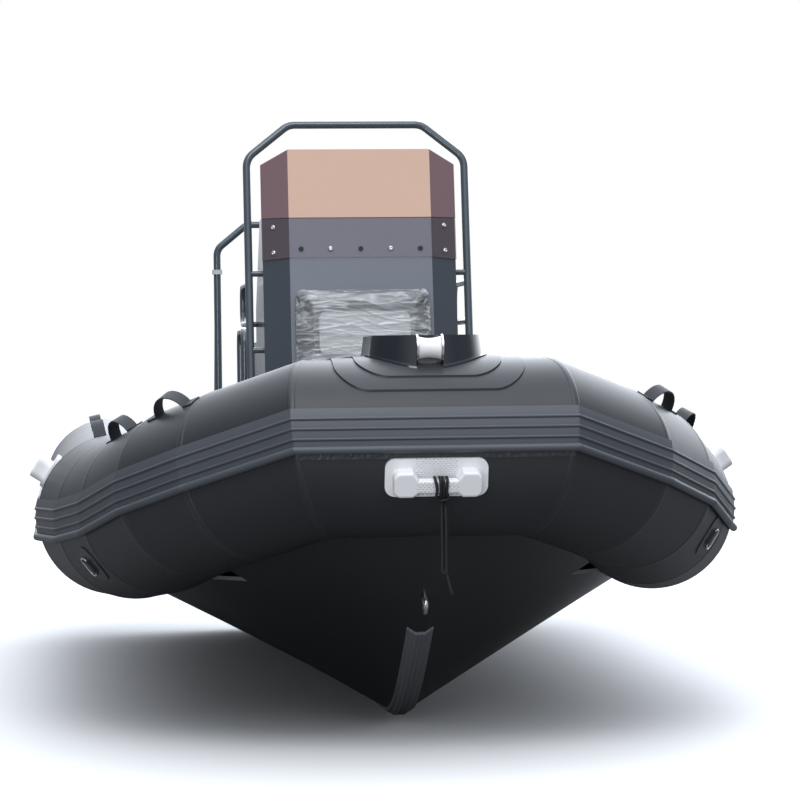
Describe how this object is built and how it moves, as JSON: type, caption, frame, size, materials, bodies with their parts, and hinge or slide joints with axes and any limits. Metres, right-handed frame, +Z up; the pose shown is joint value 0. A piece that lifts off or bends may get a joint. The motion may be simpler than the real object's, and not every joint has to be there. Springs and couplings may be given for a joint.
{
  "type": "rigid hull inflatable boat",
  "caption": "Inflatable boat with a rigid deep V hull, gored tubes, a steering console with a tinted windscreen and pipe hoop, padded seats and a stern arch.",
  "frame": {"origin": "on the centreline amidships, at the height of the still waterline", "axes": "+Y aft along the boat, +X to port, +Z up"},
  "size_m": [2.1568, 4.8455, 1.8671],
  "materials": {
    "tube_fabric": "coated fabric, satin",
    "hull_gelcoat": "gelcoat, gloss",
    "deck_grey": "moulded non-slip",
    "strake_rubber": "ribbed extrusion",
    "keel_rubber": "ribbed strip",
    "console_grey": "gelcoat",
    "door_grey": "gelcoat",
    "screen_tint": "tinted clear sheet",
    "pipe_grey": "gloss coated pipe",
    "steel": "polished",
    "handle_grey": "moulded, dotted grip",
    "step_black": "moulded, gloss",
    "roller_white": "turned",
    "wheel_black": "moulded grip",
    "helm_black": "moulded",
    "seat_box_grey": "gelcoat",
    "seat_lid_grey": "gelcoat",
    "cushion_vinyl": "padded, in clear film",
    "webbing": "woven strap",
    "cord_black": "braided cord",
    "collar_plastic": "moulded ring",
    "valve_black": "moulded"
  },
  "bodies": {
    "boat": {"hull": "hull_gelcoat", "deck": "deck_grey", "transom": "hull_gelcoat", "transom_pad": "valve_black", "keel_guard": "keel_rubber", "tube_bow": "tube_fabric", "tube_port_forward": "tube_fabric", "tube_starboard_forward": "tube_fabric", "tube_port_middle": "tube_fabric", "tube_starboard_middle": "tube_fabric", "tube_port_aft": "tube_fabric", "tube_starboard_aft": "tube_fabric", "cone_port": "tube_fabric", "cone_starboard": "tube_fabric", "strake_bow": "strake_rubber", "strake_port": "strake_rubber", "strake_starboard": "strake_rubber", "bonding_band": "strake_rubber", "bow_locker": "console_grey", "console": "console_grey", "windscreen": "screen_tint", "console_hoop": "pipe_grey", "helm": "helm_black", "front_seat_box": "seat_box_grey", "driver_rails": "pipe_grey", "front_backrest": "cushion_vinyl", "driver_seat_box": "seat_box_grey", "driver_backrest": "cushion_vinyl", "stern_arch": "pipe_grey", "arch_collars": "collar_plastic", "step_patches": "tube_fabric", "bow_step": "step_black", "roller_cheeks": "steel", "bow_handle": "handle_grey", "side_handles": "handle_grey", "ring_patches": "tube_fabric", "d_rings": "steel", "strap_handles_port": "webbing", "strap_handles_starboard": "webbing", "valves": "valve_black", "bow_eye": "steel", "stern_eyes": "steel", "drains": "valve_black", "painter_loops": "cord_black", "painter_hank": "cord_black", "painter_tail": "cord_black"},
    "roller": {"anchor_roller": "roller_white"},
    "locker_lid": {"bow_locker_lid": "door_grey"},
    "door": {"console_door": "door_grey"},
    "wheel": {"steering_wheel": "wheel_black"},
    "front_lid": {"front_seat_lid": "seat_lid_grey", "front_seat_cushion": "cushion_vinyl"},
    "driver_lid": {"driver_seat_lid": "seat_lid_grey", "driver_seat_cushion": "cushion_vinyl"}
  },
  "joints": [
    {"name": "anchor_roller_spin", "type": "hinge", "parent": "boat", "child": "roller", "pos_m": [0, -2.262, 0.779], "axis": [1, 0, 0], "continuous": true},
    {"name": "locker_lid_hinge", "type": "hinge", "parent": "boat", "child": "locker_lid", "pos_m": [0, -1.769, 0.408], "axis": [1, 0, 0], "range_deg": [0, 85]},
    {"name": "console_door_hinge", "type": "hinge", "parent": "boat", "child": "door", "pos_m": [-0.197, 0.066, 0.5], "axis": [0, 0, 1], "range_deg": [0, 110]},
    {"name": "steering_wheel_turn", "type": "hinge", "parent": "boat", "child": "wheel", "pos_m": [0, -0.0232, 1.0244], "axis": [0, 0.7502, 0.6612], "range_deg": [-540, 540]},
    {"name": "front_seat_lid_hinge", "type": "hinge", "parent": "boat", "child": "front_lid", "pos_m": [0, -0.953, 0.548], "axis": [1, 0, 0], "range_deg": [0, 95]},
    {"name": "driver_seat_lid_hinge", "type": "hinge", "parent": "boat", "child": "driver_lid", "pos_m": [0, 0.647, 0.82], "axis": [1, 0, 0], "range_deg": [0, 85]}
  ]
}
